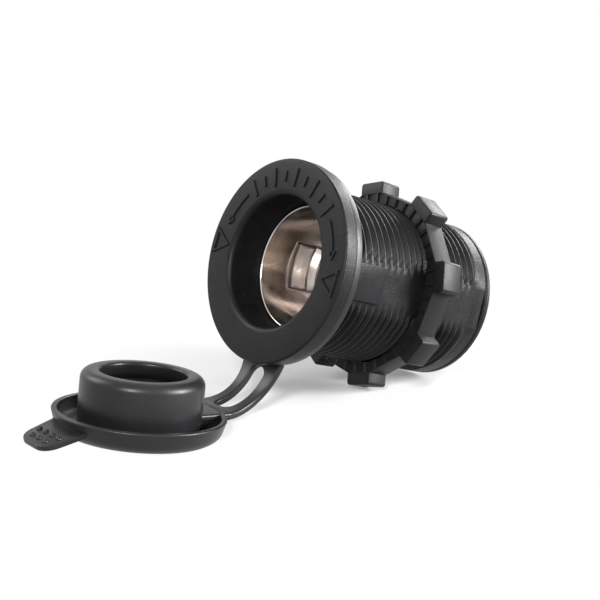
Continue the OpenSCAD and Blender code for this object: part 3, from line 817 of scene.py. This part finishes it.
def pad_block(shape, section, reach):
    """Block from the plug's wall outwards, to the distance that reach gives for each X."""
    foot = PLUG_R - PLUG_WALL / 2
    rows = []
    for share in (0, 0.5, 1):
        along = [math.sqrt(foot ** 2 - x * x) * (1 - share) + reach(x) * share for x, z in section]
        rows.append([Vector((x, y, z)) for y, (x, z) in zip(along, section)])
    start = len(shape.points)
    shape.grid(rows, closed=True)
    n = len(section)
    end = len(shape.points)
    shape.faces += [tuple(range(start, start + n)), tuple(range(end - n, end))]


def strap_pad(shape):
    """Plate from the strap to the plug's wall, and the rubber below it down to the dish's floor."""
    edge, half = STRAP_EDGE, STRAP_W / 2
    low, high = DISH_H - STRAP_T, DISH_H
    section = arc(half - edge, high - edge, edge, 0, 90, 5)
    section += [(-x, z) for x, z in reversed(section)]
    section += [(-half, low + edge), (-half + edge, low), (half - edge, low), (half, low + edge)]
    overlap = 0.02
    pad_block(shape, section, lambda x: DISH_R + PAD_LIP + overlap)
    side, top, foot = half - FILL_IN, low + FILL_UP, DISH_FLOOR - FILL_DOWN
    across = [side - side * i / 4 for i in range(9)]
    fill = [(x, top) for x in across] + [(-x, foot) for x in across]
    pad_block(shape, fill, lambda x: math.sqrt(INNER_WALL_R ** 2 - x * x))


def make_cap(looks):
    shape = Shape()
    upright(shape, lid_profile(), 224)
    tab(shape)
    strap_pad(shape)
    shape.move(IN_CAP)
    piece("dust_cap", shape, looks["rubber"], "cap", ["cap_lid"], crease=40)


# Plated shell

def shell_columns():
    """Angles all round the shell, close together at the pockets' sides."""
    side_steps, middle_steps, rest_steps = 12, 8, 40
    end = POCKET_HALF + SIDE_REACH * POCKET_SIDE
    side = [end - 2 * POCKET_SIDE * i / side_steps for i in range(side_steps + 1)]
    side += [side[-1] * (1 - i / middle_steps) for i in range(1, middle_steps + 1)]
    quarter = sorted(side) + [end + (math.pi / 2 - end) * i / rest_steps for i in range(1, rest_steps + 1)]
    upper = quarter + [math.pi - a for a in reversed(quarter[:-1])]
    return upper + [2 * math.pi - a for a in reversed(upper[1:-1])]


def shell_rows():
    """Distances along the shell's wall, close together at the ends of the pockets' ramps."""
    bends = [POCKET_NEAR, POCKET_NEAR + RAMP_FRONT, POCKET_FAR - RAMP_REAR, POCKET_FAR]
    rows = [RIM_Y + start for start in WALL_STARTS] + [POCKET_NEAR - 1]
    rows += [bend + POCKET_SOFT * BEND_REACH * i / 4 for bend in bends for i in range(-4, 5)]
    end = SHELL_HIGH.y - SHELL_WALL - FLOOR_ROUND - 0.1
    return rows + [POCKET_FAR + 1 + (end - POCKET_FAR - 1) * i / 6 for i in range(7)]


def pocket_push(angle, y):
    """How far the pocket moves the shell's wall outwards. It is the mean of some shifted pockets, which
    makes its bends soft."""
    fold = min(abs(math.atan2(math.sin(a), math.cos(a))) for a in (angle, angle - math.pi))
    middle = (POCKET_STEPS - 1) / 2
    steps = [(i - middle) / middle for i in range(POCKET_STEPS)]
    across = along = 0
    for step in steps:
        inside = POCKET_HALF + POCKET_SIDE - fold - step * POCKET_SIDE / 2
        across += min(1, max(0, inside / POCKET_SIDE))
        front = (y + step * POCKET_SOFT - POCKET_NEAR) / RAMP_FRONT
        rear = (POCKET_FAR - y - step * POCKET_SOFT) / RAMP_REAR
        along += min(1, max(0, min(front, rear)))
    return POCKET_DEPTH * min(across, along) / len(steps)


def make_shell(looks):
    shape = Shape()
    columns = shell_columns()
    outer = SHELL_R + SHELL_WALL
    floor_y = SHELL_HIGH.y - SHELL_WALL
    corner = (SHELL_R - FLOOR_ROUND, floor_y - FLOOR_ROUND)
    rim = [(SHELL_R + ROLL, RIM_Y), (SHELL_R + ROLL_MIDDLE, RIM_Y + ROLL_MIDDLE), (SHELL_R, RIM_Y + ROLL)]
    floor = arc(*corner, FLOOR_ROUND, 0, 90, 8) + [(FLOOR_HOLE_R, floor_y), (FLOOR_HOLE_R, SHELL_HIGH.y)]
    floor += arc(*corner, FLOOR_ROUND + SHELL_WALL, 90, 0, 6)
    back = [(outer, RIM_Y + SHELL_EDGE), (outer - SHELL_EDGE, RIM_Y), (SHELL_R + 0.25, RIM_Y)]

    def rings(profile):
        return [[polar(r, a, y) for a in columns] for r, y in profile]

    def wall(r, levels):
        return [[polar(r + pocket_push(a, y), a, y) for a in columns] for y in levels]

    rows = rings(rim) + wall(SHELL_R, shell_rows()) + rings(floor)
    rows += wall(outer, reversed(shell_rows())) + rings(back)
    shape.grid(rows, closed=True)
    piece("nickel_shell", shape, looks["nickel"], "socket", ["contact_shell"], crease=70)


def dress_nodes(looks):
    """Gives the nodes that keep their own mesh their finish."""
    finishes = {
        "rear_cap": "housing",
        "inner_insulator": "board",
        "outer_insulator": "board",
        "centre_contact": "brass",
        "centre_rivet": "brass",
        "positive_terminal": "brass",
        "negative_terminal": "tin",
        "ground_rivets": "tin",
    }
    for node, finish in finishes.items():
        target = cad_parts[node]
        target.data.materials.clear()
        target.data.materials.append(looks[finish])


# Stage

# The floor's tilt, height and middle: the socket lies on its nut and its open cap
FLOOR_NORMAL = Vector((0, -0.2756, 0.9613))
FLOOR_LEVEL = -23.77 * MM
FLOOR_MIDDLE = 20 * MM
FLOOR_HALF = 3.0
FLOOR_TONE = 0.5
# Light added to the floor for seen rays, and the distances in metres over which it turns white
FLOOR_LIFT = 0.25
FLOOR_NEAR = 0.02
FLOOR_FAR = 0.06
WORLD_LIGHT = 0.08
# Focal length and image width in pixels, and the sensor's width in millimetres
FOCAL = 1174
IMAGE = 600
SENSOR = 36
# Nearest and farthest distance that the camera sees, in metres
CLIP = 0.005, 20
CAMERA_AT = Vector((149.8, -129.7, 0.73)) * MM
CAMERA_RIGHT = Vector((0.6422, 0.7303, 0.2330))
CAMERA_UP = Vector((-0.1777, -0.1538, 0.9720))
# Each lamp: name, place and width in metres, power in watts. All look at the same point
LAMP_TARGET = Vector((0, 0.01, -0.008))
LAMPS = (
    ("key", (0.45, 0.34, 0.29), 0.3, 11),
    ("front", (-0.42, -0.36, 0.26), 0.35, 1.8),
    ("side", (0.33, -0.5, 0.18), 0.14, 4.2),
    ("back", (-0.1, 0.5, 0.45), 0.35, 3.5),
)


def make_camera():
    data = bpy.data.cameras.new("camera")
    data.sensor_width = SENSOR
    data.sensor_fit = "HORIZONTAL"
    data.lens = FOCAL / IMAGE * SENSOR
    data.clip_start, data.clip_end = CLIP
    camera = bpy.data.objects.new("camera", data)
    bpy.context.scene.collection.objects.link(camera)
    right = CAMERA_RIGHT.normalized()
    back = right.cross(CAMERA_UP).normalized()
    up = back.cross(right)
    turn = Matrix((right, up, back)).transposed().to_4x4()
    camera.matrix_world = Matrix.Translation(CAMERA_AT) @ turn
    bpy.context.scene.camera = camera


def lamp(name, at, size, power):
    data = bpy.data.lights.new(name, "AREA")
    data.shape = "DISK"
    data.size = size
    data.energy = power
    made = bpy.data.objects.new(name, data)
    bpy.context.scene.collection.objects.link(made)
    made.location = at
    made.rotation_mode = "QUATERNION"
    made.rotation_quaternion = (LAMP_TARGET - Vector(at)).to_track_quat("-Z", "Y")


def seen_rays(tree):
    """The output that is 1 for camera, glossy and transmission rays, and 0 for the rest."""
    path = tree.nodes.new("ShaderNodeLightPath")
    first = tree.nodes.new("ShaderNodeMath")
    first.operation = "MAXIMUM"
    second = tree.nodes.new("ShaderNodeMath")
    second.operation = "MAXIMUM"
    tree.links.new(path.outputs["Is Camera Ray"], first.inputs[0])
    tree.links.new(path.outputs["Is Glossy Ray"], first.inputs[1])
    tree.links.new(first.outputs[0], second.inputs[0])
    tree.links.new(path.outputs["Is Transmission Ray"], second.inputs[1])
    return second.outputs[0]


def make_world():
    """White to seen rays, and a weak white light on everything."""
    world = bpy.data.worlds.new("studio")
    bpy.context.scene.world = world
    world.use_nodes = True
    tree = world.node_tree
    tree.nodes.clear()
    out = tree.nodes.new("ShaderNodeOutputWorld")
    white = tree.nodes.new("ShaderNodeBackground")
    white.inputs["Color"].default_value = (1, 1, 1, 1)
    white.inputs["Strength"].default_value = 1
    soft = tree.nodes.new("ShaderNodeBackground")
    soft.inputs["Color"].default_value = (1, 1, 1, 1)
    soft.inputs["Strength"].default_value = WORLD_LIGHT
    mix = tree.nodes.new("ShaderNodeMixShader")
    tree.links.new(seen_rays(tree), mix.inputs[0])
    tree.links.new(soft.outputs[0], mix.inputs[1])
    tree.links.new(white.outputs[0], mix.inputs[2])
    tree.links.new(mix.outputs[0], out.inputs["Surface"])


def floor_material():
    """A pale matte floor that keeps the shadow near the socket and turns to plain white further out."""
    made = bpy.data.materials.new("pale_floor")
    made.use_nodes = True
    tree = made.node_tree
    tree.nodes.clear()
    out = tree.nodes.new("ShaderNodeOutputMaterial")
    matte = tree.nodes.new("ShaderNodeBsdfDiffuse")
    matte.inputs["Color"].default_value = (FLOOR_TONE, FLOOR_TONE, FLOOR_TONE, 1)
    lift = tree.nodes.new("ShaderNodeEmission")
    scaled = tree.nodes.new("ShaderNodeMath")
    scaled.operation = "MULTIPLY"
    scaled.inputs[1].default_value = FLOOR_LIFT
    both = tree.nodes.new("ShaderNodeAddShader")
    bright = tree.nodes.new("ShaderNodeEmission")
    bright.inputs["Strength"].default_value = 1
    place = tree.nodes.new("ShaderNodeTexCoord")
    far = tree.nodes.new("ShaderNodeVectorMath")
    far.operation = "LENGTH"
    fade = tree.nodes.new("ShaderNodeMapRange")
    fade.interpolation_type = "SMOOTHSTEP"
    fade.inputs["From Min"].default_value = FLOOR_NEAR
    fade.inputs["From Max"].default_value = FLOOR_FAR
    seen = seen_rays(tree)
    share = tree.nodes.new("ShaderNodeMath")
    share.operation = "MULTIPLY"
    mix = tree.nodes.new("ShaderNodeMixShader")
    link = tree.links.new
    link(seen, scaled.inputs[0])
    link(scaled.outputs[0], lift.inputs["Strength"])
    link(matte.outputs[0], both.inputs[0])
    link(lift.outputs[0], both.inputs[1])
    link(place.outputs["Object"], far.inputs[0])
    link(far.outputs["Value"], fade.inputs["Value"])
    link(fade.outputs["Result"], share.inputs[0])
    link(seen, share.inputs[1])
    link(share.outputs[0], mix.inputs[0])
    link(both.outputs[0], mix.inputs[1])
    link(bright.outputs[0], mix.inputs[2])
    link(mix.outputs[0], out.inputs["Surface"])
    return made


def make_floor():
    mesh = bpy.data.meshes.new("floor")
    corners = [(x * FLOOR_HALF, y * FLOOR_HALF, 0) for x, y in ((-1, -1), (1, -1), (1, 1), (-1, 1))]
    mesh.from_pydata(corners, [], [(0, 1, 2, 3)])
    floor = bpy.data.objects.new("floor", mesh)
    bpy.context.scene.collection.objects.link(floor)
    normal = FLOOR_NORMAL.normalized()
    floor.rotation_mode = "QUATERNION"
    floor.rotation_quaternion = normal.to_track_quat("Z", "Y")
    floor.location = normal * FLOOR_LEVEL + Vector((1, 0, 0)).cross(normal) * -FLOOR_MIDDLE
    mesh.materials.append(floor_material())


def make_stage():
    make_camera()
    make_world()
    make_floor()
    for values in LAMPS:
        lamp(*values)
    bpy.context.scene.view_settings.view_transform = "Standard"


make_stage()
looks = make_materials()
make_housing(looks)
make_nut(looks)
make_cap_ring(looks)
make_strap(looks)
make_cap(looks)
make_shell(looks)
dress_nodes(looks)
